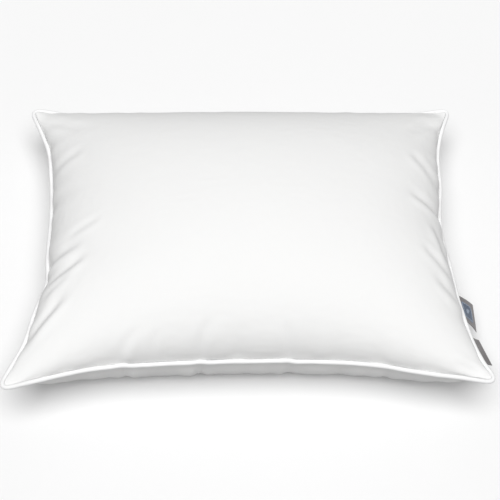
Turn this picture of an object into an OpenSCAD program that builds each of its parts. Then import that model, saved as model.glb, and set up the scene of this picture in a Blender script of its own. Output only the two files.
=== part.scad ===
// Bed pillow: a downproof cotton cover with corded edges, filled with feather and down.
//
// The pillow lies flat. +X runs along its long side, -Y is its front edge and +Z is up.
// The origin is on the floor under the middle of the pillow. All sizes are in millimetres.
//
// Every cloth and filling surface comes from one rule. A point has a place (u, v) in the square
// -1..1 by -1..1, where the seam is the edge of the square with its corners rounded off.
// place() turns (u, v) into x and y on the filled pillow, and fullness() says how far the panels
// stand away from the seam there.

/* [Filled size] */
// Corner to corner along the long side, on the seam line
seam_width = 636; // [580:1:700]
// Corner to corner along the short side, on the seam line
seam_depth = 484; // [440:1:520]
// How far the middle of each short side is drawn in by the filling
side_draw = 47; // [20:1:60]
// How far the middle of each long side is drawn in by the filling
front_draw = 37; // [15:1:60]
// How suddenly the sides flare out towards the corners: 2 is a parabola
draw_power = 2.4; // [2:0.1:3]
// Height of the seam above the floor at the middle of each side
seam_height = 70; // [50:1:90]
// How much lower the corners lie than the middles of the sides
corner_droop = 3; // [0:1:12]
// Height of the crown above the seam
crown = 112; // [60:1:120]
// Depth of the belly below the seam if there were no floor
belly = 88; // [76:1:100]
// How squarely the upper panel bulges: 2 is an ellipse, more is boxier
bulge = 2.2; // [2:0.1:4]
// How squarely the lower panel bulges
belly_bulge = 3.5; // [2:0.1:4]
// Distance from a corner over which the filling dies away
ear_reach = 35; // [15:1:60]
// Sharpness of the rounded corners: more is sharper
corner_power = 60; // [30:1:90]

/* [Cloth] */
// Thickness of the cover cloth
cloth = 0.6; // [0.4:0.1:1]
// Half the gap between the two panels at the seam, which the piping flange fills
seam_gap = 1; // [0.95:0.05:1.2]
// Room between the cover and the filling
slack = 0.8; // [0.4:0.1:2]

/* [Piping] */
// Diameter of the finished edge bead
bead = 6; // [5:0.5:8]
// Thickness of the bias strip folded round the cord
strip = 0.45; // [0.3:0.05:0.6]
// Depth of the strip's flange inside the seam
flange = 6; // [4:0.5:8]
// Distance from the seam line to the row of stitches in the flange
stitch_inset = 2.5; // [1.5:0.1:3]
// Thickness of the sewing thread
thread = 0.35; // [0.2:0.05:0.4]
// Length of the gap in the back seam that is closed after filling
closing_length = 180; // [100:5:260]

/* [Labels] */
// Thickness of a folded label, two layers of ribbon
label_thick = 0.7; // [0.5:0.1:0.9]
// Length of the brand label along the seam
brand_length = 42; // [30:1:46]
// How far the brand label reaches from its hinge line
brand_drop = 40; // [34:1:44]
// Place of the brand label's middle along the side, from the middle of the pillow
brand_y = -125; // [-128:1:-100]
// How far below level the brand label hangs, in degrees
brand_hang = 52; // [48:1:75]
// Length of the care label along the seam
care_length = 42; // [30:1:44]
// How far the care label reaches from its hinge line
care_drop = 28; // [20:1:30]
// Place of the care label's middle along the side, from the middle of the pillow
care_y = -188; // [-192:1:-184]
// How far below level the care label hangs, in degrees
care_hang = 48; // [46:1:75]
// Side of the square woven patch on the brand label
patch = 26; // [10:1:27]
// Distance of the patch's middle from the hinge line
patch_at = 17; // [16:1:20]
// Thickness of the woven patch
patch_thick = 0.6; // [0.4:0.1:1]

/* [Hidden] */

cotton = [0.95, 0.95, 0.94];
ribbon_grey = [0.45, 0.43, 0.45];
woven_blue = [0.30, 0.38, 0.52];

tip_x = seam_width / 2;
tip_y = seam_depth / 2;
side_x = tip_x - side_draw;      // half width at the middle of the short sides
front_y = tip_y - front_draw;    // half depth at the middle of the long sides
panel_edge = seam_gap + cloth;   // height of a panel's outer face above the seam line
floor_ease = 10;                 // how softly the belly turns onto the floor

// No filled bag is quite even. Each mark is [how far out, where, how long] along one side.
right_marks = [[7, 85, 50], [3.5, -65, 40], [-7, -205, 50]];
left_marks = [[-6, -82, 30], [-3, 155, 35], [-3, -180, 30]];
front_marks = [[-4, -205, 70], [4, 225, 45]];

side_steps = 20;                 // spans along each side of the seam
loop_count = 4 * side_steps;
rings = 14;                      // rows of facets from the middle of a panel to its seam

bead_centre = [bead / 2, 0];     // in the seam's own plane: [out of the pillow, up]
cord_play = 0.2;                 // room round the cord inside its strip
hair = 0.05;                     // half the gap between cloths that lie on each other

stitch_long = 3.6;               // closing stitches: length and distance from one to the next
stitch_pitch = 5.4;

root_from = 224;                 // where a ribbon's sewn end lies under the bead, in degrees
root_to = 282;
root_gap = 0.12;                 // room between the bead and the ribbon's sewn end
hinge = [5.8, -3.8];             // hinge line of a label in the seam's own plane
patch_gap = 0.02;                // room between the patch and the label

// ---------- The filled shape ----------

// How far the marks of one side move the seam out at a place along it
function settled(marks, at, i = 0) =
    i == len(marks) ? 0
    : marks[i][0] * exp(-pow((at - marks[i][1]) / marks[i][2], 2)) + settled(marks, at, i + 1);

// Distance of the seam from the middle: right or left of it at y, and behind or before it at x
function half_width(y, side = 1) =
    side_x + side_draw * pow(abs(y) / tip_y, draw_power)
    + settled(side < 0 ? left_marks : right_marks, y);
function half_depth(x, side = 1) =
    front_y + front_draw * pow(abs(x) / tip_x, draw_power)
    + settled(side < 0 ? front_marks : [], x);

// x and y of (u, v). Each depends a little on the other, so the answer is refined a few times.
function place(u, v, inset = 0, p = [0, 0], turns = 6) =
    turns == 0 ? p
    : place(u, v, inset,
            [u * (half_width(p.y, u) - inset), v * (half_depth(p.x, v) - inset)], turns - 1);

// Bulge along one direction: 1 at the middle and 0 at the seam
function swell(a, power) = pow(max(0, 1 - pow(abs(a), power)), 1 / power);

// The filling dies away in the corners, which leaves four flat ears
function corner_distance(p) = norm([tip_x - abs(p.x), tip_y - abs(p.y)]) / ear_reach;
function in_ear(p) = let (d = corner_distance(p)) d * d / (1 + d * d);
function fullness(u, v, p, power) = swell(u, power) * swell(v, power) * in_ear(p);

// Height of the seam line, which droops towards the corners
function seam_z(p) = seam_height - corner_droop * pow(p.x * p.y / (tip_x * tip_y), 2);

// Height above the floor, eased so that the cloth turns onto it gently
function above_floor(z) =
    z > floor_ease ? z : z < -floor_ease ? 0 : pow(z + floor_ease, 2) / (4 * floor_ease);

function upper_point(u, v, inset, lift, rise) =
    let (p = place(u, v, inset))
    [p.x, p.y, seam_z(p) + lift + rise * fullness(u, v, p, bulge)];
function lower_point(u, v, inset, lift, rise, ground) =
    let (p = place(u, v, inset))
    [p.x, p.y,
     ground + above_floor(seam_z(p) - lift - rise * fullness(u, v, p, belly_bulge) - ground)];

// ---------- The seam as a closed loop ----------

// Point k of the loop, on the edge of the unit square, closer together near the corners
function along(k) = sin(90 * (2 * (k % side_steps) / side_steps - 1));
function square_edge(k) =
    let (side = floor(k / side_steps) % 4, a = along(k))
    side == 0 ? [1, a] : side == 1 ? [-a, 1] : side == 2 ? [-1, -a] : [a, -1];
// The same point with the corner rounded off
function loop_uv(k) =
    let (e = square_edge(k))
    e / pow(pow(abs(e.x), corner_power) + pow(abs(e.y), corner_power), 1 / corner_power);
function seam_point(k) =
    let (e = loop_uv(k), p = place(e.x, e.y)) [p.x, p.y, seam_z(p)];
// Level direction that points straight out of the seam
function seam_out(k) =
    let (t = seam_point((k + 1) % loop_count) - seam_point((k + loop_count - 1) % loop_count))
    [t.y, -t.x, 0] / norm([t.x, t.y]);

// How far out each ring of facets lies: closer together near the seam, where the cloth is steep
function ring_at(i) = sin(90 * i / rings);

// ---------- Building blocks ----------

// Rings of points for one skin: the middle point first, then the rings outwards
function skin(upper, inset, lift, rise, ground = 0) = [
    for (i = [0:rings], k = [0:(i == 0 ? 0 : loop_count - 1)])
        let (e = ring_at(i) * loop_uv(k))
        upper ? upper_point(e.x, e.y, inset, lift, rise)
        : lower_point(e.x, e.y, inset, lift, rise, ground)
];
skin_size = 1 + rings * loop_count;

function ring_index(i, k) = i == 0 ? 0 : 1 + (i - 1) * loop_count + k % loop_count;

// Facets of one skin whose points start at number first, facing up or down
function skin_faces(first, up) = [
    for (i = [1:rings], k = [0:loop_count - 1])
        let (a = first + ring_index(i - 1, k), b = first + ring_index(i, k),
             c = first + ring_index(i, k + 1), d = first + ring_index(i - 1, k + 1))
        each (i == 1 ? [up ? [a, c, b] : [a, b, c]]
              : up ? [[a, c, b], [a, d, c]] : [[a, b, c], [a, c, d]])
];

// The closed solid that lies between an upper and a lower skin
module between(upper_skin, lower_skin) {
    rim = [
        for (k = [0:loop_count - 1])
            let (a = ring_index(rings, k), b = ring_index(rings, k + 1),
                 c = skin_size + b, d = skin_size + a)
            each [[a, b, c], [a, c, d]]
    ];
    polyhedron(
        points = concat(upper_skin, lower_skin),
        faces = concat(skin_faces(0, true), skin_faces(skin_size, false), rim)
    );
}

// Facets of a profile of n points carried through m stations
function tube_faces(m, n, closed) = [
    for (k = [0:m - (closed ? 1 : 2)], j = [0:n - 1])
        let (a = k * n + j, b = k * n + (j + 1) % n,
             c = ((k + 1) % m) * n + (j + 1) % n, d = ((k + 1) % m) * n + j)
        each [[a, b, c], [a, c, d]]
];

// A profile of [out, up] points carried round the whole seam
module round_the_seam(profile) {
    points = [
        for (k = [0:loop_count - 1], q = profile)
            seam_point(k) + seam_out(k) * q.x + [0, 0, q.y]
    ];
    polyhedron(points = points, faces = tube_faces(loop_count, len(profile), true));
}

// A profile of [out, up] points carried along the right-hand seam, centred on y
module along_the_side(profile, y, length, steps = 8) {
    n = len(profile);
    points = [
        for (i = [0:steps], q = profile)
            let (s = y + length * (i / steps - 0.5)) side_point(s, q)
    ];
    ends = [[for (j = [n - 1:-1:0]) j], [for (j = [0:n - 1]) steps * n + j]];
    polyhedron(points = points, faces = concat(tube_faces(steps + 1, n, false), ends));
}

// The right-hand seam: which way it faces at y, and a point q = [out, up] from it
function side_turn(y) = atan2(half_width(y - 1) - half_width(y + 1), 2);
function side_point(y, q) =
    let (turn = side_turn(y), p = [half_width(y), y])
    [p.x + q.x * cos(turn), p.y + q.x * sin(turn), seam_z(p) + q.y];

function arc_points(centre, r, from, to, steps) =
    [for (i = [0:steps]) let (a = from + (to - from) * i / steps) centre + r * [cos(a), sin(a)]];

// A label's own frame: X from the hinge line to the free edge, Y along the seam
module at_hinge(y, hang) {
    translate(side_point(y, hinge)) rotate([0, 0, side_turn(y)]) rotate([0, hang, 0]) children();
}

// A ribbon folded double: a flap with a rounded root and a rounded fold
module ribbon_flap(length, drop) {
    rotate([90, 0, 0])
        linear_extrude(length, center = true) {
            circle(d = label_thick, $fn = 32);
            translate([0, -label_thick / 2]) square([drop - label_thick / 2, label_thick]);
            translate([drop - label_thick / 2, 0]) circle(d = label_thick, $fn = 32);
        }
}

// A flat square with rounded corners, centred, standing on z = 0
module rounded_tile(side, radius, height) {
    linear_extrude(height) {
        square([side, side - 2 * radius], center = true);
        square([side - 2 * radius, side], center = true);
        for (x = [-1, 1], y = [-1, 1])
            translate([x, y] * (side / 2 - radius)) circle(r = radius, $fn = 32);
    }
}

// ---------- The cover and its filling ----------

module top_panel() {
    color(cotton)
        between(
            skin(true, 0, panel_edge, crown - panel_edge),
            skin(true, cloth, seam_gap, crown - panel_edge)
        );
}

module bottom_panel() {
    color(cotton)
        between(
            skin(false, cloth, seam_gap, belly, ground = cloth),
            skin(false, 0, panel_edge, belly)
        );
}

// The filling stops short of the flange and leaves a little room under the cloth
module down_fill() {
    inset = flange + slack;
    edge = seam_gap - slack / 2;
    color("white")
        between(
            skin(true, inset, edge, crown - panel_edge - slack),
            skin(false, inset, edge, belly - slack, ground = cloth + slack / 2)
        );
}

// ---------- The corded edge ----------

module piping_cord() {
    round_cord = arc_points(bead_centre, bead / 2 - strip - cord_play, 0, 315, 7);
    color("ivory") round_the_seam(round_cord);
}

// A bias strip: once round the cord, with both edges lying together as a flange
module piping_cover() {
    outer = bead / 2;
    inner = outer - strip;
    mouth = asin((strip + hair) / outer);
    lips = asin(hair / inner);
    profile = concat(
        arc_points(bead_centre, outer, -180 + mouth, 180 - mouth, 10),
        [[-flange, strip + hair], [-flange, hair]],
        arc_points(bead_centre, inner, 180 - lips, -180 + lips, 8),
        [[-flange, -hair], [-flange, -strip - hair]]
    );
    color(cotton) round_the_seam(profile);
}

// The two threads of the edge seam lie on either face of the flange
module thread_row(height) {
    strand = arc_points([-stitch_inset, height], thread / 2, 0, 300, 5);
    color("white") round_the_seam(strand);
}
thread_height = strip + 2 * hair + thread / 2;
module needle_thread() { thread_row(thread_height); }
module bobbin_thread() { thread_row(-thread_height); }

// Short stitches in the groove between the bead and the upper panel, along the back
module closing_stitch() {
    count = floor(closing_length / stitch_pitch);
    color("white")
        for (i = [0:count - 1]) {
            x = (i - (count - 1) / 2) * stitch_pitch;
            turn = atan2(half_depth(x + 1) - half_depth(x - 1), 2);
            p = [x, half_depth(x)];
            translate([p.x, p.y, seam_z(p) + bead / 2])
                rotate([0, 0, turn])
                    translate([-stitch_long / 2, 0.1, -thread / 2])
                        cube([stitch_long, thread, thread]);
        }
}

// ---------- The labels ----------

// The sewn ends of both ribbons, curled under the bead
module label_roots() {
    inner = bead / 2 + root_gap;
    profile = concat(
        arc_points(bead_centre, inner + label_thick, root_from, root_to, 6),
        arc_points(bead_centre, inner, root_to, root_from, 6)
    );
    color(ribbon_grey) {
        along_the_side(profile, brand_y, brand_length);
        along_the_side(profile, care_y, care_length);
    }
}

module brand_label() {
    color(ribbon_grey) at_hinge(brand_y, brand_hang) ribbon_flap(brand_length, brand_drop);
}

// Places the patch on the brand label's upper face
module at_patch(height) {
    at_hinge(brand_y, brand_hang)
        translate([patch_at, 0, label_thick / 2 + patch_gap + height]) children();
}

module emblem_patch() {
    color(woven_blue) at_patch(0) rounded_tile(patch, 3, patch_thick);
}

// A frame of thread round the patch, close to its edge
module patch_thread() {
    color("white")
        at_patch(patch_thick)
            difference() {
                rounded_tile(patch - 1, 2.5, thread / 2);
                translate([0, 0, -1]) rounded_tile(patch - 1 - 2 * thread, 2.5 - thread, 2);
            }
}

module care_label() {
    color(ribbon_grey) at_hinge(care_y, care_hang) ribbon_flap(care_length, care_drop);
}

top_panel();
bottom_panel();
down_fill();
piping_cord();
piping_cover();
needle_thread();
bobbin_thread();
closing_stitch();
label_roots();
brand_label();
emblem_patch();
patch_thread();
care_label();
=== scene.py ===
# %% [markdown]
# # A corded bed pillow
# The real thing is a sewn cotton bag with feather and down inside. Nothing in it is rigid, so the
# shape comes from two facts: the cloth was cut flat, and the filling pushes it out. This lesson
# works out the filled shape by formula, presses creases into it, lets a short cloth simulation
# settle it a little, and then sews on everything else: the corded edge, the threads, the labels
# and the filling.
#
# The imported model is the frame. It says where the seam is and which parts move.

import math

import bmesh
import bpy
import numpy as np
from mathutils import Matrix, Vector


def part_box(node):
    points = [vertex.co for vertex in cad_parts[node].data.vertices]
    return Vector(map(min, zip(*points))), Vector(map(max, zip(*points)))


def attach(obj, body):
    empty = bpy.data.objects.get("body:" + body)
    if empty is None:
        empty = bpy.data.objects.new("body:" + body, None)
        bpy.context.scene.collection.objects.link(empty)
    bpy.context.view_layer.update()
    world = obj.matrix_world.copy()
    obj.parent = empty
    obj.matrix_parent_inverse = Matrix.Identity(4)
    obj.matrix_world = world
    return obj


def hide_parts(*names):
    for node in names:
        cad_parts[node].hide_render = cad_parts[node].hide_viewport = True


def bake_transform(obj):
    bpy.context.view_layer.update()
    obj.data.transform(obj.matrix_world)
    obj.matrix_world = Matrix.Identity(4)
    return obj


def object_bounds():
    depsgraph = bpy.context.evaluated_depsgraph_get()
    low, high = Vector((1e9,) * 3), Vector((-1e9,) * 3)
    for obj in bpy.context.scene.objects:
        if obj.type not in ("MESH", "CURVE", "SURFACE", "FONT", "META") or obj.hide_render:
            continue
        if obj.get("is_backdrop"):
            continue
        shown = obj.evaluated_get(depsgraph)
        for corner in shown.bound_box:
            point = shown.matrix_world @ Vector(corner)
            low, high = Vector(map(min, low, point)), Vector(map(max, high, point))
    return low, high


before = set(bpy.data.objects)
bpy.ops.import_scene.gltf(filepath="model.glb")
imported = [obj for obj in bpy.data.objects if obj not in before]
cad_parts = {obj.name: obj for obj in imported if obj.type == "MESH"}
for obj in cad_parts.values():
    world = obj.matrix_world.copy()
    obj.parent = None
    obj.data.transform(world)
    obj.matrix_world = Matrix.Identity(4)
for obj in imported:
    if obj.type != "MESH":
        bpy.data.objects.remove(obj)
cad_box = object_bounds()
print("nodes:", ", ".join(sorted(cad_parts)))

# %% [markdown]
# The camera and the light come first, because every later choice is judged through them. The view
# is from the front and about 53 degrees up, with a short telephoto lens. White cotton on a white
# floor needs a light that is mostly overhead: the crown then stays bright while the steep sides
# fall off to grey, and that fall-off is all that shows the shape.

# %% Camera, light and floor
MM = 0.001
VIEW_UP = math.radians(52.8)         # how far above level the camera is
VIEW_TURN = math.radians(-4.2)       # how far it is turned round the pillow
VIEW_ROLL = math.radians(3.0)
VIEW_FAR = 1.549
AIM = Vector((0.0039, -0.0255, 0.067))
LENS_MM = 80.25


def make_camera():
    back = Vector((math.sin(VIEW_TURN) * math.cos(VIEW_UP),
                   -math.cos(VIEW_TURN) * math.cos(VIEW_UP),
                   math.sin(VIEW_UP)))
    level = Vector((math.cos(VIEW_TURN), math.sin(VIEW_TURN), 0))
    upright = back.cross(level)
    right = math.cos(VIEW_ROLL) * level + math.sin(VIEW_ROLL) * upright
    up = back.cross(right)
    data = bpy.data.cameras.new("camera")
    data.lens = LENS_MM
    data.sensor_width = 36
    camera = bpy.data.objects.new("camera", data)
    camera.matrix_world = (Matrix.Translation(AIM + VIEW_FAR * back)
                           @ Matrix((right, up, back)).transposed().to_4x4())
    bpy.context.scene.collection.objects.link(camera)
    bpy.context.scene.camera = camera


def make_sun(name, strength, spread, tilt, turn):
    data = bpy.data.lights.new(name, "SUN")
    data.energy = strength
    data.angle = math.radians(spread)
    sun = bpy.data.objects.new(name, data)
    sun.rotation_euler = (math.radians(tilt), 0, math.radians(turn))
    bpy.context.scene.collection.objects.link(sun)


make_camera()
make_sun("overhead", strength=3.3, spread=60, tilt=17, turn=-4)
world = bpy.data.worlds.new("studio")
world.use_nodes = True
world.node_tree.nodes["Background"].inputs["Color"].default_value = (1, 1, 1, 1)
world.node_tree.nodes["Background"].inputs["Strength"].default_value = 0.08
bpy.context.scene.world = world
bpy.context.scene.view_settings.view_transform = "Standard"

# %% [markdown]
# Every finish is a small node tree, and the arithmetic in it reads best as arithmetic. `Wire`
# wraps one output socket, so that `1 - mask * 0.3` adds the Math nodes by itself. `Finish` owns
# the material: `node` adds any other node, `mix` blends two colours, and `relief` makes a bump.

# %% A short way to write materials
class Wire:
    """One value in a finish. Arithmetic on it adds Math nodes."""

    def __init__(self, finish, socket):
        self.finish, self.socket = finish, socket

    def maths(self, how, *values):
        return self.finish.node("ShaderNodeMath", {"operation": how}, dict(enumerate(values)))

    def __add__(self, other): return self.maths("ADD", self, other)
    def __radd__(self, other): return self.maths("ADD", other, self)
    def __sub__(self, other): return self.maths("SUBTRACT", self, other)
    def __rsub__(self, other): return self.maths("SUBTRACT", other, self)
    def __mul__(self, other): return self.maths("MULTIPLY", self, other)
    def __rmul__(self, other): return self.maths("MULTIPLY", other, self)
    def sine(self): return self.maths("SINE", self)


class Finish:
    """A material made of one Principled shader and what feeds it."""

    def __init__(self, name, **fixed):
        self.material = bpy.data.materials.new(name)
        self.material.use_nodes = True
        self.tree = self.material.node_tree
        self.shader = self.tree.nodes["Principled BSDF"]
        for socket, value in fixed.items():
            self.shader.inputs[socket.replace("_", " ")].default_value = value

    def plug(self, socket, value):
        if isinstance(value, Wire):
            self.tree.links.new(value.socket, socket)
        else:
            socket.default_value = value

    def node(self, kind, settings=None, inputs=None, output=0):
        made = self.tree.nodes.new(kind)
        for name, value in (settings or {}).items():
            if name == "stops":
                for stop, (place, shade) in zip(made.color_ramp.elements, value):
                    stop.position, stop.color = place, (shade, shade, shade, 1)
            else:
                setattr(made, name, value)
        for name, value in (inputs or {}).items():
            self.plug(made.inputs[name], value)
        return Wire(self, made.outputs[output])

    def mix(self, amount, first, second):
        return self.node("ShaderNodeMix", {"data_type": "RGBA"}, {0: amount, 6: first, 7: second}, 2)

    def scaled(self, place, sizes):
        return self.node("ShaderNodeVectorMath", {"operation": "MULTIPLY"}, {0: place, 1: sizes})

    def noise(self, place, scale, detail=3.0, roughness=0.5):
        return self.node("ShaderNodeTexNoise", {},
                         {"Vector": place, "Scale": scale, "Detail": detail, "Roughness": roughness})

    def relief(self, height, distance, strength=1.0):
        self.set("Normal", self.node("ShaderNodeBump", {},
                                     {"Height": height, "Distance": distance, "Strength": strength}))

    def set(self, socket, value):
        self.plug(self.shader.inputs[socket], value)


# %% [markdown]
# The floor is a plain pale sheet. A Light Path node lets the camera see it nearly white while the
# light it bounces is cut to about half. No real floor does that: it is a studio trick, which keeps
# the walls of the pillow below the seam in shade.

# %% The floor
FLOOR_DARK, FLOOR_PALE = (0.86, 0.86, 0.86, 1), (0.88, 0.88, 0.88, 1)
FLOOR_BOUNCE = (0.47, 0.47, 0.47, 1)     # the colour that bounced light meets


def floor_finish():
    finish = Finish("pale_floor", Roughness=0.9, Specular_IOR_Level=0.1)
    place = finish.node("ShaderNodeTexCoord", output=3)
    cloud = finish.noise(place, 1.5)
    pale = finish.mix(cloud, FLOOR_DARK, FLOOR_PALE)
    bounced = finish.node("ShaderNodeLightPath", output=2)
    finish.set("Base Color", finish.mix(bounced, pale, FLOOR_BOUNCE))
    return finish.material


def make_floor(reach=6.0):
    mesh = bpy.data.meshes.new("floor")
    mesh.from_pydata([(-reach, -reach, 0), (reach, -reach, 0), (reach, reach, 0), (-reach, reach, 0)],
                     [], [(0, 1, 2, 3)])
    mesh.materials.append(floor_finish())
    floor = bpy.data.objects.new("floor", mesh)
    bpy.context.scene.collection.objects.link(floor)
    floor.location.z = -0.5 * MM
    floor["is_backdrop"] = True


make_floor()

# %% [markdown]
# ## The filled shape
# A filled bag has corners that stick out and sides that draw in, because the cloth can't stretch:
# where it bulges up, it pulls the seam inwards. The seam is four shallow curves with rounded
# corners. `place` turns a point of the square -1..1 by -1..1 into a point of the filled pillow,
# and `fullness` says how far the cloth stands off from the seam there. The numbers are the part's
# own, in metres.

# %% The seam and the bulge
TIP_X, TIP_Y = 0.318, 0.242              # corners of the seam line, before they are rounded
SIDE_DRAW, FRONT_DRAW = 0.047, 0.037     # how far the sides draw in at their middles
DRAW_POWER = 2.4
RIGHT_MARKS = ((0.007, 0.085, 0.050), (0.0035, -0.065, 0.040), (-0.007, -0.205, 0.050))
LEFT_MARKS = ((-0.006, -0.082, 0.030), (-0.003, 0.155, 0.035), (-0.003, -0.180, 0.030))
FRONT_MARKS = ((-0.004, -0.205, 0.070), (0.004, 0.225, 0.045))
SEAM_Z, CORNER_DROOP = 0.070, 0.003
CROWN, BELLY = 0.112, 0.088
BULGE, BELLY_BULGE = 2.2, 3.5
EAR_REACH = 0.035                        # the filling dies away this near a corner
CORNER_POWER = 60
FLOOR_EASE = 0.010
BEAD_R = 3.0 * MM                        # radius of the corded edge
PANEL_LIFT = 1.3 * MM                    # each panel leaves the seam this far from its middle


def settled(marks, at):
    """How far a side's own unevenness moves the seam out. Each mark is how far, where, how long."""
    return sum(out * np.exp(-((at - where) / reach) ** 2) for out, where, reach in marks)


def half_width(y, side=1.0):
    uneven = np.where(np.asarray(side) < 0, settled(LEFT_MARKS, y), settled(RIGHT_MARKS, y))
    return TIP_X - SIDE_DRAW + SIDE_DRAW * (np.abs(y) / TIP_Y) ** DRAW_POWER + uneven


def half_depth(x, side=1.0):
    uneven = np.where(np.asarray(side) < 0, settled(FRONT_MARKS, x), 0)
    return TIP_Y - FRONT_DRAW + FRONT_DRAW * (np.abs(x) / TIP_X) ** DRAW_POWER + uneven


def place(u, v, inset=0.0):
    x, y = np.zeros_like(u), np.zeros_like(v)
    for _ in range(7):
        x, y = u * (half_width(y, u) - inset), v * (half_depth(x, v) - inset)
    return x, y


def swell(a, power=BULGE):
    return np.clip(1 - np.abs(a) ** power, 0, 1) ** (1 / power)


def fullness(u, v, x, y, power=BULGE):
    corner = np.hypot(TIP_X - np.abs(x), TIP_Y - np.abs(y)) / EAR_REACH
    return swell(u, power) * swell(v, power) * corner ** 2 / (1 + corner ** 2)


def seam_height(x, y):
    return SEAM_Z - CORNER_DROOP * (x * y / (TIP_X * TIP_Y)) ** 2


def above_floor(z):
    eased = (z + FLOOR_EASE) ** 2 / (4 * FLOOR_EASE)
    return np.where(z > FLOOR_EASE, z, np.where(z < -FLOOR_EASE, 0, eased))


def smooth(t):
    t = np.clip(t, 0, 1)
    return t * t * (3 - 2 * t)


def round_corners(u, v):
    """Pulls the last stretch of the square's corners in, as the sewn corners are rounded."""
    reach = np.maximum(np.abs(u), np.abs(v))
    power = (np.abs(u) ** CORNER_POWER + np.abs(v) ** CORNER_POWER) ** (1 / CORNER_POWER)
    pull = 1 + (power / np.maximum(reach, 1e-9) - 1) * smooth((reach - 0.85) / 0.15)
    return u / pull, v / pull


# %% [markdown]
# The cover is a grid of cloth cells. On the flat cut they are all the same size, about 5 mm. On the
# filled pillow they aren't: close to the seam the cloth stands almost upright, so many cells fit
# into a few millimetres of floor plan. `even_steps` walks along a cross-section and finds where
# equal lengths of cloth end up.

# %% The cloth grid
CELLS_X, CELLS_Y = 120, 94


def even_steps(count, half_span, rise):
    """Places from -1 to 1 across the pillow that are equally far apart along the cloth."""
    angle = np.linspace(0, math.pi / 2, 4000)
    across = np.sin(angle) ** (2 / BULGE)
    outline = np.stack([half_span * across, rise * swell(across)])
    walked = np.concatenate([[0], np.cumsum(np.hypot(*np.diff(outline)))])
    wanted = np.abs(np.linspace(-1, 1, count + 1)) * walked[-1]
    print(f"cloth from seam to seam: {2000 * walked[-1]:.0f} mm")
    return np.sign(np.linspace(-1, 1, count + 1)) * np.interp(wanted, walked, across), 2 * walked[-1]


steps_x, cloth_x = even_steps(CELLS_X, TIP_X - SIDE_DRAW, CROWN)
steps_y, cloth_y = even_steps(CELLS_Y, TIP_Y - FRONT_DRAW, CROWN)
grid_u, grid_v = round_corners(*np.meshgrid(steps_x, steps_y))
grid_x, grid_y = place(grid_u, grid_v)
grid_full = fullness(grid_u, grid_v, grid_x, grid_y)
seam_z = seam_height(grid_x, grid_y)
upper_z = seam_z + PANEL_LIFT + (CROWN - PANEL_LIFT) * grid_full
belly_full = fullness(grid_u, grid_v, grid_x, grid_y, BELLY_BULGE)
lower_z = above_floor(seam_z - PANEL_LIFT - BELLY * belly_full)
print("grid:", grid_u.shape, "crown at", round(float(upper_z.max()) * 1000, 1), "mm")
seam_miss = abs(float(grid_x.max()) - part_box("top_panel")[1].x)
print("seam misses the frame by", round(seam_miss / MM, 2), "mm")

# %% [markdown]
# ## Where the cloth creases
# A plump pillow is nearly smooth on its crown. The spare cloth gathers where the seam draws in, as
# small puckers square to the seam, and longer tucks run in from the sides and the ears. Both are
# pressed into the shape before the simulation, which only softens them. A `tuck` is a groove
# between two points of the floor plan. The puckers come from a few waves along the seam with
# seeded phases, and they die away up the cloth.

# %% Puckers and tucks
SEED = 11
PUCKER_REACH = 0.045                     # how far up the cloth a pucker runs


def tuck(x, y, start, end, depth, width, lean=0.0):
    """Depth of one groove at every grid point: deepest along its middle, tapered at both ends.

    The cloth beside a groove stands up in two lips. lean makes the right-hand one the higher.
    """
    start, end = np.array(start), np.array(end)
    along = end - start
    length = np.hypot(*along)
    along = along / length
    s = ((x - start[0]) * along[0] + (y - start[1]) * along[1]) / length
    off = ((x - start[0]) * along[1] - (y - start[1]) * along[0]) / width
    taper = smooth(s / 0.3) * smooth((1 - s) / 0.4)
    right = (0.35 + 0.6 * lean) * np.exp(-((off - 1.7) / 0.9) ** 2)
    left = (0.35 - 0.3 * lean) * np.exp(-((off + 1.7) / 0.9) ** 2)
    return depth * taper * (np.exp(-off ** 2) - right - left)


def waves(distance, draw, lengths):
    """A smooth random line of height about 1, made of waves of the given lengths."""
    total = np.zeros_like(distance)
    for length in lengths:
        total += np.sin(distance * 2 * math.pi / length + draw.uniform(0, 2 * math.pi))
    return total / math.sqrt(len(lengths))


def puckers(draw, x, y, cloth_left, front, back, sides):
    """Pucker depth near each of the four seams. cloth_left is the cloth between a point and each."""
    total = np.zeros_like(x)
    heights = {"left": sides, "right": sides, "front": front, "back": back}
    for edge, height in heights.items():
        line = y if edge in ("left", "right") else x
        shape = waves(line, draw, (0.031, 0.043, 0.058, 0.083))
        fade = np.exp(-(cloth_left[edge] / PUCKER_REACH) ** 1.5) * smooth(cloth_left[edge] / 0.012)
        total += height * shape * fade
    return total


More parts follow.
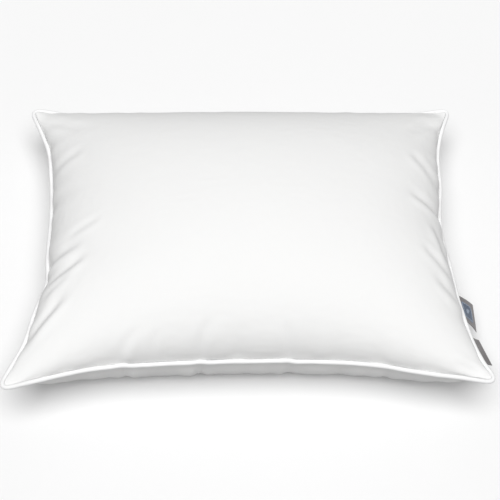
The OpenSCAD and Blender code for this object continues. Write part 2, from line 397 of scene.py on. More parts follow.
flat_a, flat_b = np.meshgrid(np.linspace(-1, 1, CELLS_X + 1), np.linspace(-1, 1, CELLS_Y + 1))
cloth_left = {"left": (1 + flat_a) * cloth_x / 2, "right": (1 - flat_a) * cloth_x / 2,
              "front": (1 + flat_b) * cloth_y / 2, "back": (1 - flat_b) * cloth_y / 2}
draw = np.random.default_rng(SEED)
upper_dip = puckers(draw, grid_x, grid_y, cloth_left, front=0.9 * MM, back=1.1 * MM, sides=1.5 * MM)
lower_dip = puckers(draw, grid_x, grid_y, cloth_left, front=1.3 * MM, back=1.3 * MM, sides=1.5 * MM)
UPPER_TUCKS = (                          # start, end, depth and half width in metres, and lean
    ((-0.290, -0.070), (-0.212, -0.060), 3.6 * MM, 6.5 * MM, 1.0),
    ((-0.278, -0.112), (-0.208, -0.080), 3.4 * MM, 6 * MM, 1.0),
    ((-0.246, -0.048), (-0.190, -0.028), 2.0 * MM, 5 * MM, 0.6),
    ((-0.276, -0.128), (-0.226, -0.100), 2.4 * MM, 5 * MM, 0.6),
    ((-0.296, -0.186), (-0.234, -0.128), 3.8 * MM, 7 * MM, 0.9),
    ((-0.280, 0.096), (-0.222, 0.112), 2.0 * MM, 8 * MM, 0.5),
    ((0.216, 0.022), (0.292, 0.006), 3.0 * MM, 7.5 * MM, 0.9),
    ((0.254, -0.016), (0.276, -0.092), 2.2 * MM, 6.5 * MM, 0.7),
    ((0.226, -0.064), (0.278, -0.104), 2.0 * MM, 6 * MM, 0.3),
    ((0.240, -0.106), (0.286, -0.142), 2.0 * MM, 7 * MM, 0.2),
    ((0.232, 0.104), (0.276, 0.060), 2.0 * MM, 8 * MM, 0.4),
    ((-0.176, -0.216), (-0.142, -0.182), 1.8 * MM, 5 * MM, 0.5),
    ((-0.130, -0.212), (-0.118, -0.184), 1.4 * MM, 5 * MM, 0.3),
    ((-0.070, -0.210), (-0.052, -0.176), 2.0 * MM, 6 * MM, 0.5),
    ((0.052, -0.210), (0.040, -0.178), 1.6 * MM, 6 * MM, -0.4),
    ((0.256, -0.222), (0.306, -0.234), 2.6 * MM, 5 * MM, 0.5),
    ((-0.296, 0.214), (-0.230, 0.150), 2.6 * MM, 8 * MM, 0.0),
    ((0.296, 0.214), (0.236, 0.140), 2.6 * MM, 8 * MM, 0.0),
)
LOWER_TUCKS = (                          # pinches in the walls under the front and back seams
    ((-0.166, -0.222), (-0.158, -0.176), 3.4 * MM, 5 * MM, 0.8),
    ((-0.066, -0.214), (-0.066, -0.170), 3.6 * MM, 5 * MM, 0.4),
    ((0.046, -0.214), (0.056, -0.172), 3.2 * MM, 6 * MM, -0.6),
    ((0.180, -0.222), (0.172, -0.178), 2.6 * MM, 6 * MM, 0.4),
    ((-0.100, 0.214), (-0.092, 0.168), 3.0 * MM, 6 * MM, 0.4),
    ((0.082, 0.214), (0.092, 0.168), 3.0 * MM, 6 * MM, -0.4),
)
for start, end, depth, width, lean in UPPER_TUCKS:
    upper_dip = upper_dip + tuck(grid_x, grid_y, start, end, depth, width, lean)
for start, end, depth, width, lean in LOWER_TUCKS:
    lower_dip = lower_dip + tuck(grid_x, grid_y, start, end, depth, width, lean)
print("deepest tuck:", round(float(upper_dip.max()) / MM, 1), "mm")

# %% [markdown]
# ## Sewing and filling the bag
# The two panels go into one mesh. Its shape key `cut` holds the flat cloth, and Blender's Cloth
# takes its rest lengths from that key. The seam is pinned where the frame has it. Everywhere else
# a weak pull towards the filled shape stands for the filling, and light pressure keeps the cloth
# round. The filled shape is close to rest already, so the cloth settles by tenths of a millimetre
# and nowhere by more than a few: the form comes from the formulas, and this is a last touch.

# %% The cover's mesh
SPARE_CLOTH = 1.018                      # the flat cut is this much longer than the filled shape
HOLD = 0.16                              # how firmly the filling holds the cloth in the middle


def outward(points, sign):
    """Unit normals of a grid of points."""
    across = np.gradient(points, axis=1)
    back = np.gradient(points, axis=0)
    normal = np.cross(across, back) * sign
    return normal / np.maximum(np.linalg.norm(normal, axis=2, keepdims=True), 1e-12)


def dented(z, dip, sign):
    points = np.stack([grid_x, grid_y, z], axis=2)
    free = smooth(np.minimum.reduce(list(cloth_left.values())) / 0.010)
    moved = points - outward(points, sign) * (dip * free)[..., None]
    moved[..., 2] = np.maximum(moved[..., 2], 0)
    return moved


def grid_faces(rows, columns, first, flip):
    faces = []
    for j in range(rows - 1):
        for i in range(columns - 1):
            a = first + j * columns + i
            face = (a, a + 1, a + 1 + columns, a + columns)
            faces.append(face[::-1] if flip else face)
    return faces


upper_shape = dented(upper_z, upper_dip, 1)
lower_shape = dented(lower_z, lower_dip, -1)
rows, columns = grid_x.shape
panel_size = rows * columns
flat_x, flat_y = round_corners(flat_a, flat_b)
flat_cut = np.stack([flat_x * cloth_x / 2 * SPARE_CLOTH, flat_y * cloth_y / 2 * SPARE_CLOTH,
                     np.full_like(flat_x, SEAM_Z)], axis=2)
filled = np.concatenate([upper_shape.reshape(-1, 3), lower_shape.reshape(-1, 3)])
cut = np.concatenate([flat_cut.reshape(-1, 3)] * 2)
cover_faces = (grid_faces(rows, columns, 0, False) + grid_faces(rows, columns, panel_size, True))
on_seam = np.tile((np.abs(flat_a) == 1) | (np.abs(flat_b) == 1), (2, 1)).ravel()
print("flat cut:", round(cloth_x * SPARE_CLOTH * 1000), "x", round(cloth_y * SPARE_CLOTH * 1000), "mm")


# %% The simulation
SIM_FRAMES = 24
MOST_MOVE = 9 * MM                       # no point moves further than this


def add_object(name, points, faces):
    mesh = bpy.data.meshes.new(name)
    mesh.from_pydata([tuple(p) for p in points], [], faces)
    mesh.update()
    made = bpy.data.objects.new(name, mesh)
    bpy.context.scene.collection.objects.link(made)
    return made


def hold_weights():
    middle = np.minimum.reduce(list(cloth_left.values()))
    weight = np.tile(HOLD * (0.35 + 0.65 * smooth(middle / 0.10)), (2, 1)).ravel()
    weight[on_seam] = 1
    return weight


def simulate(points):
    """Runs the cover as cloth and returns where its points end up."""
    bag = add_object("bag", points, cover_faces)
    bag.shape_key_add(name="filled")
    flat = bag.shape_key_add(name="cut")
    flat.data.foreach_set("co", cut.ravel())
    group = bag.vertex_groups.new(name="hold")
    for index, weight in enumerate(hold_weights()):
        group.add([index], float(weight), "REPLACE")
    cloth = bag.modifiers.new("cloth", "CLOTH")
    settings = cloth.settings
    settings.quality = 8
    settings.mass = 0.00002
    settings.tension_stiffness = 30
    settings.compression_stiffness = 12
    settings.shear_stiffness = 8
    settings.bending_stiffness = 0.02
    settings.rest_shape_key = flat
    settings.vertex_group_mass = "hold"
    settings.pin_stiffness = 1.5
    settings.use_pressure = True
    settings.uniform_pressure_force = 0.4
    settings.effector_weights.gravity = 0
    cloth.collision_settings.use_collision = False
    scene = bpy.context.scene
    for step in range(1, SIM_FRAMES + 1):
        scene.frame_set(step)
    settled = bag.evaluated_get(bpy.context.evaluated_depsgraph_get()).to_mesh()
    moved = np.empty(len(points) * 3)
    settled.vertices.foreach_get("co", moved)
    scene.frame_set(1)
    bpy.data.objects.remove(bag)
    return moved.reshape(-1, 3)


cover_points = simulate(filled)
shift = cover_points - filled
reach = np.linalg.norm(shift, axis=1)
print("the cloth moved up to", round(float(reach.max()) / MM, 1), "mm, on average",
      round(float(reach.mean()) / MM, 2), "mm")
shift *= np.minimum(1, MOST_MOVE / np.maximum(reach, 1e-9))[:, None]
cover_points = filled + shift
cover_points[:, 2] = np.maximum(cover_points[:, 2], 0)


# %% [markdown]
# ## The two panels
# The simulated bag is cut back into its two panels. Each one is smoothed with one subdivision and
# given the thickness of the cloth, inwards. A UV map named `cut` keeps each point's place on the
# flat cloth, in metres, so that the weave runs along the threads wherever the cloth goes.

# %% The panels
CLOTH = 0.5 * MM


def finished(made, smooth_angle=None):
    """Applies an object's modifiers and smooths its shading."""
    graph = bpy.context.evaluated_depsgraph_get()
    mesh = bpy.data.meshes.new_from_object(made.evaluated_get(graph), depsgraph=graph)
    mesh.name = made.name
    made.modifiers.clear()
    made.data = mesh
    mesh.polygons.foreach_set("use_smooth", [True] * len(mesh.polygons))
    if smooth_angle:
        mesh.set_sharp_from_angle(angle=math.radians(smooth_angle))
    return made


def map_cloth(made, flat):
    """Writes each point's place on the flat cloth as the UV map `cut`."""
    layer = made.data.uv_layers.new(name="cut")
    corners = np.empty(len(made.data.loops), np.int32)
    made.data.loops.foreach_get("vertex_index", corners)
    layer.data.foreach_set("uv", np.asarray(flat, np.float32)[corners].ravel())


def make_panel(name, points, flip):
    panel = add_object(name, points, grid_faces(rows, columns, 0, flip))
    map_cloth(panel, flat_cut.reshape(-1, 3)[:, :2])
    finer = panel.modifiers.new("finer", "SUBSURF")
    finer.levels = finer.render_levels = 1
    thick = panel.modifiers.new("thick", "SOLIDIFY")
    thick.thickness = CLOTH
    thick.offset = -1
    return finished(panel, smooth_angle=50)


upper_cover = make_panel("upper_cover", cover_points[:panel_size], flip=False)
lower_cover = make_panel("lower_cover", cover_points[panel_size:], flip=True)
print("upper cover:", len(upper_cover.data.polygons), "faces")
for cover, node in ((upper_cover, "top_panel"), (lower_cover, "bottom_panel")):
    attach(cover, "pillow")
    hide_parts(node)

# %% [markdown]
# ## The corded edge
# Piping is a bias strip folded round a cord, with its two edges sewn into the seam as a flange.
# Here it is the strip's real cross-section, carried round the whole seam. Bias cloth over a soft
# cord is never perfectly even, so the bead swells and wanders by a few tenths of a millimetre.

# %% The seam as a line
STATION = 2.0 * MM


def seam_line(spacing):
    """Evenly spaced points round the seam, the level direction out of it, and the distances."""
    t = np.linspace(-1, 1, 2500, endpoint=False)
    ones = np.ones_like(t)
    u, v = round_corners(np.concatenate([ones, -t, -ones, t]), np.concatenate([t, ones, -t, -ones]))
    x, y = place(u, v)
    loop = np.stack([x, y, seam_height(x, y)], axis=1)
    loop = np.concatenate([loop, loop[:1]])
    walked = np.concatenate([[0], np.cumsum(np.linalg.norm(np.diff(loop, axis=0), axis=1))])
    count = int(walked[-1] / spacing)
    at = np.arange(count) * walked[-1] / count
    points = np.stack([np.interp(at, walked, loop[:, axis]) for axis in range(3)], axis=1)
    along = np.roll(points, -2, axis=0) - np.roll(points, 2, axis=0)
    out = np.stack([along[:, 1], -along[:, 0], np.zeros(count)], axis=1)
    return points, out / np.linalg.norm(out, axis=1, keepdims=True), at, walked[-1]


seam_points, seam_out, seam_at, seam_length = seam_line(STATION)
UP = np.array([0, 0, 1.0])
print("seam length:", round(seam_length * 1000), "mm in", len(seam_at), "stations")


def round_waves(draw, laps):
    """A smooth random line round the seam that meets itself: waves with whole numbers of laps."""
    total = np.zeros_like(seam_at)
    for lap in laps:
        total += np.sin(seam_at / seam_length * 2 * math.pi * lap + draw.uniform(0, 2 * math.pi))
    return total / math.sqrt(len(laps))


PINCHES = (-0.166, -0.066, 0.046)        # where tucks of the front pull the bead up a little
PINCH_UP, PINCH_WIDE = 1.5 * MM, 7 * MM
bead_up = 0.35 * MM * round_waves(draw, (13, 21, 34, 47))
for pinch in PINCHES:
    away = np.where(seam_points[:, 1] < 0, (seam_points[:, 0] - pinch) / PINCH_WIDE, 9)
    bead_up += PINCH_UP * (np.exp(-away ** 2) - 0.5 * np.exp(-((away - 2) / 1.2) ** 2))
bead_swell = 1 + 0.035 * round_waves(draw, (37, 61, 88, 131))


# %% Sweeping a profile along a line
def swept(profiles):
    """Points and faces of a ring of cross-sections, [out, up] points at each station of the seam."""
    stations, count = profiles.shape[:2]
    points = (seam_points[:, None, :] + profiles[..., :1] * seam_out[:, None, :]
              + profiles[..., 1:] * UP)
    faces = []
    for k in range(stations):
        a, b = k * count, (k + 1) % stations * count
        faces += [(a + j, a + (j + 1) % count, b + (j + 1) % count, b + j) for j in range(count)]
    return points.reshape(-1, 3), faces


def arc(centre, radius, start, end, steps):
    angle = np.radians(np.linspace(start, end, steps + 1))
    return np.array(centre) + radius * np.stack([np.cos(angle), np.sin(angle)], axis=1)


def along_seam_map(made, count, width):
    """UV map of a swept piece: distance along the seam, and across the profile."""
    across = np.linspace(0, width, count)
    flat = np.stack([np.repeat(seam_at, count), np.tile(across, len(seam_at))], axis=1)
    map_cloth(made, flat)


# %% The piping strip
STRIP = 0.45 * MM
FLANGE = 6 * MM
HAIR = 0.05 * MM
inner_r = BEAD_R - STRIP
mouth = math.degrees(math.asin((STRIP + HAIR) / BEAD_R))
lips = math.degrees(math.asin(HAIR / inner_r))
bead_outside = arc((0, 0), BEAD_R, -180 + mouth, 180 - mouth, 20)
bead_inside = arc((0, 0), inner_r, 180 - lips, -180 + lips, 14)
flange_top = np.array([[-FLANGE - BEAD_R, STRIP + HAIR], [-FLANGE - BEAD_R, HAIR]])
flange_foot = flange_top[::-1] * (1, -1)
strip_profile = np.concatenate([bead_outside, flange_top, bead_inside, flange_foot])
in_bead = strip_profile[:, 0] > -BEAD_R
strip_profiles = np.tile(strip_profile, (len(seam_at), 1, 1))
strip_profiles[:, in_bead] *= bead_swell[:, None, None]
strip_profiles[:, in_bead, 1] += bead_up[:, None]
strip_profiles[..., 0] += BEAD_R
piping = add_object("piping_strip", *swept(strip_profiles))
along_seam_map(piping, len(strip_profile), 2 * math.pi * BEAD_R)
finished(piping, smooth_angle=50)
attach(piping, "pillow")
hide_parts("piping_cover")
print("piping:", len(piping.data.polygons), "faces")

# %% [markdown]
# Inside the strip lies a cotton cord of three strands twisted together. Nobody sees it on a whole
# pillow, but it is what makes the bead round, so it is made as what it is.

# %% The cord
STRANDS = 3
STRAND_R = 1.0 * MM
STRAND_OUT = 1.14 * MM
TURNS = 190                              # twists in the whole length of the cord


def make_cord(ring=7):
    points, faces = [], []
    around = np.arange(ring) * 2 * math.pi / ring
    for strand in range(STRANDS):
        turn = seam_at / seam_length * 2 * math.pi * TURNS + strand * 2 * math.pi / STRANDS
        middle = np.stack([BEAD_R + STRAND_OUT * np.cos(turn),
                           bead_up + STRAND_OUT * np.sin(turn)], axis=1)
        round_it = STRAND_R * np.stack([np.cos(around), np.sin(around)], axis=1)
        strand_points, strand_faces = swept(middle[:, None, :] + round_it[None])
        first = strand * len(seam_at) * ring
        points.append(strand_points)
        faces += [tuple(first + i for i in face) for face in strand_faces]
    return finished(add_object("twisted_cord", np.concatenate(points), faces))


cord = make_cord()
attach(cord, "pillow")
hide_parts("piping_cord")

# %% [markdown]
# The last 180 mm of the back seam were left open for filling, and were closed by hand from the
# outside. Those stitches are short, a little uneven, and lie in the groove between the bead and
# the upper panel. The threads inside the seam stay as the frame has them.

# %% The closing stitches
STITCH_R = 0.22 * MM
STITCH_LONG, STITCH_PITCH = 3.6 * MM, 5.4 * MM
CLOSING_LENGTH = 0.180


def capsule_points(start, end, radius, ring=8, caps=3):
    """Points and faces of a round-ended thread between two points."""
    start, end = Vector(start), Vector(end)
    turn = (end - start).to_track_quat("Z", "Y").to_matrix()
    rings = []
    for k in range(1, caps + 1):
        tip = math.pi / 2 * k / caps
        rings.append((start, -math.cos(tip), math.sin(tip)))
    for k in range(caps, 0, -1):
        tip = math.pi / 2 * k / caps
        rings.append((end, math.cos(tip), math.sin(tip)))
    points = [start + turn @ Vector((0, 0, -radius))]
    for middle, lift, wide in rings:
        for j in range(ring):
            angle = 2 * math.pi * j / ring
            points.append(middle + turn @ Vector((wide * math.cos(angle), wide * math.sin(angle), lift))
                          * radius)
    points.append(end + turn @ Vector((0, 0, radius)))
    last = len(points) - 1
    faces = [(0, 1 + (j + 1) % ring, 1 + j) for j in range(ring)]
    for k in range(len(rings) - 1):
        a, b = 1 + k * ring, 1 + (k + 1) * ring
        faces += [(a + j, a + (j + 1) % ring, b + (j + 1) % ring, b + j) for j in range(ring)]
    a = 1 + (len(rings) - 1) * ring
    faces += [(a + j, a + (j + 1) % ring, last) for j in range(ring)]
    return points, faces


def threads(name, ends, radius):
    """One object made of many round-ended threads, given as pairs of end points."""
    all_points, all_faces = [], []
    for start, end in ends:
        points, faces = capsule_points(start, end, radius)
        first = len(all_points)
        all_points += points
        all_faces += [tuple(first + i for i in face) for face in faces]
    return finished(add_object(name, all_points, all_faces))


def closing_ends(draw):
    count = int(CLOSING_LENGTH / STITCH_PITCH)
    for i in range(count):
        middle = (i - (count - 1) / 2) * STITCH_PITCH + draw.normal(0, 0.15 * MM)
        pair = []
        for side in (-1, 1):
            x = middle + side * STITCH_LONG / 2
            y = half_depth(x) + 0.35 * MM
            pair.append((x, y, seam_height(x, y) + BEAD_R + side * 0.25 * MM))
        yield pair


closing = threads("closing_stitches", closing_ends(draw), STITCH_R)
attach(closing, "pillow")
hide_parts("closing_stitch")
print("closing stitches:", int(CLOSING_LENGTH / STITCH_PITCH))

# %% [markdown]
# ## The filling
# The down fills the bag and stops short of the seam. Clusters of down pack into soft lumps a few
# centimetres wide, so its skin is uneven. It stays well inside the cover, under the deepest tuck.

# %% The filling
FILL_INSET = 8 * MM
LUMP = 1.6 * MM
LUMP_LENGTHS = (0.075, 0.052, 0.041, 0.033, 0.026, 0.021)
FILL_FOOT = 3.5 * MM                     # the filling stays this far off the floor


def lumps(x, y, draw):
    """Soft lumps of about height 1, from waves that run in every direction."""
    total = np.zeros_like(x)
    for length in LUMP_LENGTHS:
        turn, start = draw.uniform(0, math.pi), draw.uniform(0, 2 * math.pi)
        total += np.sin((x * math.cos(turn) + y * math.sin(turn)) * 2 * math.pi / length + start)
    return total / math.sqrt(len(LUMP_LENGTHS))


def make_filling(draw):
    x, y = place(grid_u, grid_v, inset=FILL_INSET)
    middle = seam_height(x, y)
    above = middle + (CROWN - FILL_INSET) * grid_full - LUMP * (1 + lumps(x, y, draw)) * grid_full
    below = np.maximum(middle - (BELLY - FILL_INSET) * belly_full + LUMP * lumps(x, y, draw) * belly_full,
                       FILL_FOOT)
    points = np.concatenate([np.stack([x, y, z], axis=2).reshape(-1, 3) for z in (above, below)])
    filling = add_object("down_filling", points,
                         grid_faces(rows, columns, 0, False) + grid_faces(rows, columns, panel_size, True))
    work = bmesh.new()
    work.from_mesh(filling.data)
    bmesh.ops.remove_doubles(work, verts=work.verts, dist=HAIR)
    work.to_mesh(filling.data)
    work.free()
    return finished(filling)


filling = make_filling(draw)
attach(filling, "pillow")
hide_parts("down_fill")

# %% [markdown]
# ## The labels
# Each label is a ribbon folded double, with both ends sewn in under the bead. So one ribbon runs
# out from the seam, round its fold and back. A ribbon keeps a little of the curl of its roll, so
# the flap isn't flat.

# %% A folded ribbon
RIBBON = 0.22 * MM
LAYER_GAP = 0.19 * MM                    # from the middle of the fold to either layer
HINGE_OUT, HINGE_UP = 5.8 * MM, -3.8 * MM
ROOT_R = 3.5 * MM                        # the sewn end follows the bead at this radius
LABELS = {                               # place along the side, width, drop, hang at each end, curl
    "brand": (-0.125, 0.042, 0.040, 47, 57, 6),
    "care": (-0.188, 0.042, 0.028, 50, 46, -14),
}


def side_frame(y):
    """Where the right-hand seam is at y, and the directions out of it and along it."""
    turn = math.atan2(float(half_width(y - MM) - half_width(y + MM)), 2 * MM)
    x = float(half_width(y))
    seam = np.array([x, y, float(seam_height(x, y))])
    return seam, np.array([math.cos(turn), math.sin(turn), 0]), np.array([-math.sin(turn), math.cos(turn), 0])


def flap_path(drop, hang, curl, steps=30):
    """Centre line of a hanging flap from its hinge, as [out, up] points, and its angles."""
    s = np.linspace(0, drop, steps + 1)
    angle = np.radians(-hang + curl * (1 - 2 * s / drop))
    step = np.stack([np.cos(angle), np.sin(angle)], axis=1) * drop / steps
    path = np.array([HINGE_OUT, HINGE_UP]) + np.concatenate([[[0, 0]], np.cumsum(step[:-1], axis=0)])
    return path, angle


def ribbon_line(drop, hang, curl):
    """The whole ribbon's middle line: out along its upper layer, round the fold, and back."""
    path, _ = flap_path(drop - LAYER_GAP - RIBBON / 2, hang, curl)
    root = arc((BEAD_R, 0), ROOT_R, 222, 285, 6)
    line = np.concatenate([root, path])
    for _ in range(2):
        line[1:-1] = (line[:-2] + 2 * line[1:-1] + line[2:]) / 4
    along = np.gradient(line, axis=0)
    along /= np.linalg.norm(along, axis=1, keepdims=True)
    face = np.stack([-along[:, 1], along[:, 0]], axis=1)
    fold_turn = np.radians(np.linspace(90, -90, 7))[1:-1, None]
    fold = line[-1] + LAYER_GAP * (np.cos(fold_turn) * along[-1] + np.sin(fold_turn) * face[-1])
    return np.concatenate([line + LAYER_GAP * face, fold, (line - LAYER_GAP * face)[::-1]])


def place_on_side(label, line_points, across):
    """Puts [out, up] points at a distance across the label into the row frame."""
    y = LABELS[label][0]
    seam, out, along = side_frame(y)
    return seam + line_points[..., :1] * out + line_points[..., 1:] * UP + across[..., None] * along


def make_ribbon(label, columns=40):
    y, width, drop, hang_back, hang_front, curl = LABELS[label]
    across = np.linspace(-width / 2, width / 2, columns + 1)
    share = np.linspace(0, 1, columns + 1)
    lines = [ribbon_line(drop, hang_front + (hang_back - hang_front) * t, curl) for t in share]
    points = np.stack([place_on_side(label, line, np.full(len(line), a))
                       for line, a in zip(lines, across)])
    walked = np.concatenate([[0], np.cumsum(np.linalg.norm(np.diff(lines[0], axis=0), axis=1))])
    faces = grid_faces(columns + 1, points.shape[1], 0, True)
    ribbon = add_object(label + "_ribbon", points.reshape(-1, 3), faces)
    flat = np.stack([np.tile(walked, columns + 1), np.repeat(across, points.shape[1])], axis=1)
    map_cloth(ribbon, flat)
    thick = ribbon.modifiers.new("thick", "SOLIDIFY")
    thick.thickness = RIBBON
    thick.offset = 0
    finished(ribbon, smooth_angle=60)
    ends = [place_on_side(label, np.array([out, HINGE_UP]), np.array(0.0))
            for out in (HINGE_OUT - MM, HINGE_OUT + MM)]
    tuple(ends[0])
    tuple(ends[1])
    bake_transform(ribbon)
    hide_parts(label + "_label", "label_roots")
    print(f"{label} ribbon: {width / MM:.0f} x {walked[-1] / MM:.0f} mm")
    return ribbon


brand_ribbon = make_ribbon("brand")
care_ribbon = make_ribbon("care")

# %% [markdown]
# ## The patch
# A small woven patch sits in the middle of the outer label. Its motif is a plain feather, raised
# by denser weaving. Its edge is overstitched in a domed border, and a line of short stitches
# holds it down. Everything on it is laid along the flap's own curve.

# %% The woven patch
PATCH = 0.026
PATCH_AT = 0.017                         # the patch's middle, from the hinge
PATCH_THICK = 0.6 * MM
EDGE_POWER = 7                           # how square the patch is: 2 would be a circle
BORDER = 1.5 * MM


def on_flap(along, across, lift):
    """Points on the brand label's outer face: along the drop, across the label, and off it."""
    _, width, drop, hang_back, hang_front, curl = LABELS["brand"]
    lift = np.asarray(lift + LAYER_GAP + RIBBON / 2)[..., None]
    sides = []
    for hang in (hang_front, hang_back):
        path, angle = flap_path(drop - LAYER_GAP - RIBBON / 2, hang, curl)
        s = np.linspace(0, drop, len(path))
        spot = np.stack([np.interp(along, s, path[:, 0]), np.interp(along, s, path[:, 1])], axis=-1)
        turn = np.interp(along, s, angle)
        sides.append(spot + lift * np.stack([-np.sin(turn), np.cos(turn)], axis=-1))
    share = (across / width + 0.5)[..., None]
    return place_on_side("brand", sides[0] + (sides[1] - sides[0]) * share, across)


def feather(p, q):
    """How raised the motif is at a point of the patch, from 0 to 1. p runs along the feather."""
    along = (p * 0.8 + q * 0.6, q * 0.8 - p * 0.6)
    t = (along[0] + 0.62) / 1.24
    side = along[1] - 0.10 * np.sin(math.pi * np.clip(t, 0, 1))
    half = 0.30 * np.sin(math.pi * np.clip(t * 0.86 + 0.12, 0, 1)) ** 0.8
    vane = smooth((half - np.abs(side)) / 0.06) * smooth((t - 0.18) / 0.04) * smooth((1 - t) / 0.04)
    barbs = 0.75 + 0.25 * np.sin((t * 34 - np.abs(side) * 26))
    shaft = smooth((0.045 - np.abs(side)) / 0.03) * smooth(t / 0.03) * smooth((1.0 - t) / 0.1)
    return np.maximum(vane * barbs, shaft)


def make_patch(cells=72):
    p, q = np.meshgrid(np.linspace(-1, 1, cells + 1), np.linspace(-1, 1, cells + 1))
    reach = np.maximum(np.abs(p), np.abs(q))
    power = (np.abs(p) ** EDGE_POWER + np.abs(q) ** EDGE_POWER) ** (1 / EDGE_POWER)
    pull = np.where(power > 0, reach / np.maximum(power, 1e-9), 1)
    along, across = p * pull * PATCH / 2, q * pull * PATCH / 2
    edge = (1 - reach) * PATCH / 2
    dome = np.sqrt(np.clip(1 - (1 - np.clip(edge / (BORDER / 2), 0, 2)) ** 2, 0, 1))
    ground = smooth(edge / BORDER) * 0.36 * MM
    motif = feather(p * 1.12, q * 1.12) * smooth((edge - BORDER) / (0.5 * MM))
    lift = np.maximum(dome * PATCH_THICK * (edge < BORDER), ground + 0.18 * MM * motif) + 0.03 * MM
    top = on_flap(PATCH_AT + along, across, lift)
    foot = on_flap(PATCH_AT + along, across, np.full_like(lift, 0.02 * MM))
    size = cells + 1
    faces = grid_faces(size, size, 0, True) + grid_faces(size, size, size * size, False)
    rim = ([(0, i) for i in range(cells)] + [(j, cells) for j in range(cells)]
           + [(cells, i) for i in range(cells, 0, -1)] + [(j, 0) for j in range(cells, 0, -1)])
    rim = [j * size + i for j, i in rim]
    faces += [(a, b, b + size * size, a + size * size) for a, b in zip(rim, rim[1:] + rim[:1])]
    patch = add_object("feather_patch", np.concatenate([top.reshape(-1, 3), foot.reshape(-1, 3)]), faces)
    flat = np.stack([along.ravel(), across.ravel()], axis=1)
    map_cloth(patch, np.concatenate([flat, flat]))
    raised = patch.data.attributes.new("raised", "FLOAT", "POINT")
    border = (edge < BORDER).astype(float)
    shade = np.concatenate([np.maximum(motif, border * 0.45).ravel(), np.zeros(size * size)])
    raised.data.foreach_set("value", shade.astype(np.float32))
    work = bmesh.new()
    work.from_mesh(patch.data)
    bmesh.ops.recalc_face_normals(work, faces=work.faces)
    work.to_mesh(patch.data)
    work.free()
    return finished(patch, smooth_angle=60)


def frame_ends():
    """Short stitches round the patch, just inside its border."""
    pitch, long, reach = 1.7 * MM, 1.15 * MM, PATCH / 2 - BORDER - 0.25 * MM
    angle = np.linspace(0, 2 * math.pi, 721)
    c, s = np.cos(angle), np.sin(angle)
    radius = reach / (np.abs(c) ** EDGE_POWER + np.abs(s) ** EDGE_POWER) ** (1 / EDGE_POWER)
    ring = np.stack([radius * c, radius * s], axis=1)
    walked = np.concatenate([[0], np.cumsum(np.linalg.norm(np.diff(ring, axis=0), axis=1))])
    count = round(walked[-1] / pitch)
    for k in range(count):
        at = k * walked[-1] / count
        pair = []
        for end in (at, at + long):
            a, b = (np.interp(end % walked[-1], walked, ring[:, axis]) for axis in range(2))
            pair.append(on_flap(PATCH_AT + a, np.array(b), 0.46 * MM))
        yield pair


patch = make_patch()
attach(patch, "brand_flap")
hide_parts("emblem_patch")
patch_stitches = threads("patch_stitches", frame_ends(), 0.13 * MM)
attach(patch_stitches, "brand_flap")
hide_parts("patch_thread")
print("patch:", len(patch.data.polygons), "faces")

# %% [markdown]
# ## Finishes
# The cotton is downproof cambric: a plain weave so dense that feathers can't work through it. At
# this distance the threads themselves hardly show. What does show is a faint unevenness, because
# some threads are thicker than others (slubs), and the soft bloom of the fibres at grazing angles.

# %% Cotton and thread finishes
def place_on_cloth(finish):
    return finish.node("ShaderNodeUVMap", {"uv_map": "cut"})


def plain_weave(finish, place, pitch):
    """Height of a plain weave, 0 to 1, with threads this far apart."""
    split = finish.node("ShaderNodeSeparateXYZ", {}, {0: place})
    turns = 2 * math.pi / (2 * pitch)
    warp = (split * turns).sine()
    weft = (finish.node("ShaderNodeSeparateXYZ", {}, {0: place}, 1) * turns).sine()
    return (warp * weft) * 0.5 + 0.5


def slubs(finish, place):
    """Thicker threads in both directions: noise stretched along the warp and along the weft."""
    warp = finish.noise(finish.scaled(place, (1600, 55, 1)), 1.0, 2)
    weft = finish.noise(finish.scaled(place, (55, 1600, 1)), 1.0, 2)
    return warp + weft


def cotton(name, colour, shadow, pitch, turn=0.0, rough=0.9):
    finish = Finish(name, Specular_IOR_Level=0.25, Sheen_Weight=0.08, Sheen_Roughness=0.5)
    place = place_on_cloth(finish)
    if turn:
        place = finish.node("ShaderNodeVectorRotate", {"rotation_type": "Z_AXIS"},
                            {"Vector": place, "Angle": math.radians(turn)})
    weave = plain_weave(finish, place, pitch)
    slub = slubs(finish, place)
    cloud = finish.noise(finish.scaled(place, (9, 9, 1)), 1.0, 3)
    shade = cloud * 0.6 + slub * 0.3 - 0.2
    finish.set("Base Color", finish.mix(shade, shadow, colour))
    finish.set("Roughness", slub * 0.05 + (rough - 0.05))
    finish.relief(weave * 0.35 + slub * 0.65, 0.12 * MM, 0.55)
    return finish.material


def spun(name, colour, shadow, twist):
    """Twisted yarn: fine slanting grooves that follow the object's own place."""
    finish = Finish(name, Specular_IOR_Level=0.3, Sheen_Weight=0.3)
    place = finish.node("ShaderNodeTexCoord", output=3)
    fibre = finish.noise(finish.scaled(place, (twist, twist * 0.6, twist)), 1.0, 4, 0.65)
    finish.set("Base Color", finish.mix(fibre, shadow, colour))
    finish.set("Roughness", fibre * 0.2 + 0.7)
    finish.relief(fibre, 0.08 * MM, 0.8)
    return finish.material


def down():
    """Down clusters: soft clumps crossed by fine fibres."""
    finish = Finish("down", Specular_IOR_Level=0.1, Sheen_Weight=0.5, Roughness=1.0)
    place = finish.node("ShaderNodeTexCoord", output=3)
    clump = finish.node("ShaderNodeTexVoronoi", {"feature": "SMOOTH_F1"},
                        {"Vector": place, "Scale": 70.0, "Smoothness": 0.6})
    fibre = finish.noise(place, 420.0, 6, 0.7)
    finish.set("Base Color", finish.mix(fibre, (0.80, 0.78, 0.73, 1), (0.90, 0.89, 0.86, 1)))
    finish.relief((1 - clump) * 0.7 + fibre * 0.3, 1.2 * MM, 0.7)
    return finish.material


def dress(made, material):
    made.data.materials.clear()
    made.data.materials.append(material)


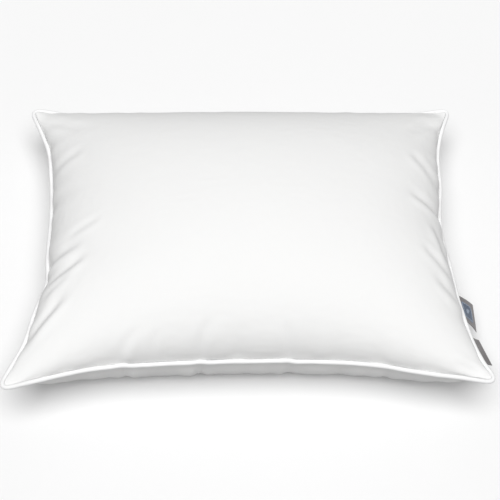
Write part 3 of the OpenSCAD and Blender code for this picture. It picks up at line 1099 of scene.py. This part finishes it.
COTTON, COTTON_SHADE = (0.875, 0.875, 0.87, 1), (0.845, 0.845, 0.84, 1)
percale = cotton("downproof_cotton", COTTON, COTTON_SHADE, pitch=0.35 * MM)
for cover in (upper_cover, lower_cover):
    dress(cover, percale)
dress(piping, cotton("bias_cotton", (0.90, 0.90, 0.90, 1), (0.86, 0.86, 0.86, 1), 0.35 * MM, turn=45))
dress(cord, spun("cotton_cord", (0.86, 0.83, 0.75, 1), (0.74, 0.70, 0.61, 1), 900.0))
dress(filling, down())
thread = spun("white_thread", (0.90, 0.90, 0.89, 1), (0.80, 0.80, 0.79, 1), 2400.0)
for piece in (closing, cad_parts["needle_thread"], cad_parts["bobbin_thread"]):
    dress(piece, thread)

# %% [markdown]
# The ribbon is satin: long floats of shiny yarn, so it catches light in streaks along its length.
# The patch is woven in two blues, light for the feather and its border, dark for the ground.

# %% Ribbon and patch finishes
def satin(name, colour, shadow):
    finish = Finish(name, Specular_IOR_Level=0.45, Sheen_Weight=0.15, Anisotropic=0.4)
    place = place_on_cloth(finish)
    float_yarn = finish.noise(finish.scaled(place, (260, 5200, 1)), 1.0, 3)
    rib = (finish.node("ShaderNodeSeparateXYZ", {}, {0: place}, 1) * (2 * math.pi / (0.3 * MM))).sine()
    finish.set("Base Color", finish.mix(float_yarn, shadow, colour))
    finish.set("Roughness", float_yarn * 0.15 + 0.42)
    finish.relief(float_yarn * 0.7 + rib * 0.15 + 0.15, 0.06 * MM, 0.6)
    return finish.material


def woven_blue():
    finish = Finish("woven_blue", Specular_IOR_Level=0.35, Sheen_Weight=0.2)
    place = place_on_cloth(finish)
    raised = finish.node("ShaderNodeAttribute", {"attribute_name": "raised"}, output=2)
    weave = plain_weave(finish, place, 0.28 * MM)
    colour = finish.mix(raised, (0.075, 0.115, 0.185, 1), (0.42, 0.50, 0.62, 1))
    finish.set("Base Color", finish.mix(weave * 0.35, colour, (0.02, 0.03, 0.06, 1)))
    finish.set("Roughness", weave * 0.15 + 0.6)
    finish.relief(weave, 0.10 * MM, 0.7)
    return finish.material


grey_satin = satin("grey_satin", (0.20, 0.185, 0.19, 1), (0.15, 0.14, 0.14, 1))
dress(brand_ribbon, grey_satin)
dress(care_ribbon, grey_satin)
dress(patch, woven_blue())
dress(patch_stitches, spun("patch_thread", (0.62, 0.68, 0.76, 1), (0.46, 0.52, 0.60, 1), 2400.0))

# %% [markdown]
# ## The size
# The finished pillow is measured against the frame before the scene is closed.

# %% Measure and finish
visual_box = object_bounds()
sizes = {"cad": [list(corner) for corner in cad_box], "visual": [list(corner) for corner in visual_box]}
for name, (low, high) in sizes.items():
    print(name, "box:", " x ".join(str(round((b - a) / MM, 1)) for a, b in zip(low, high)), "mm")
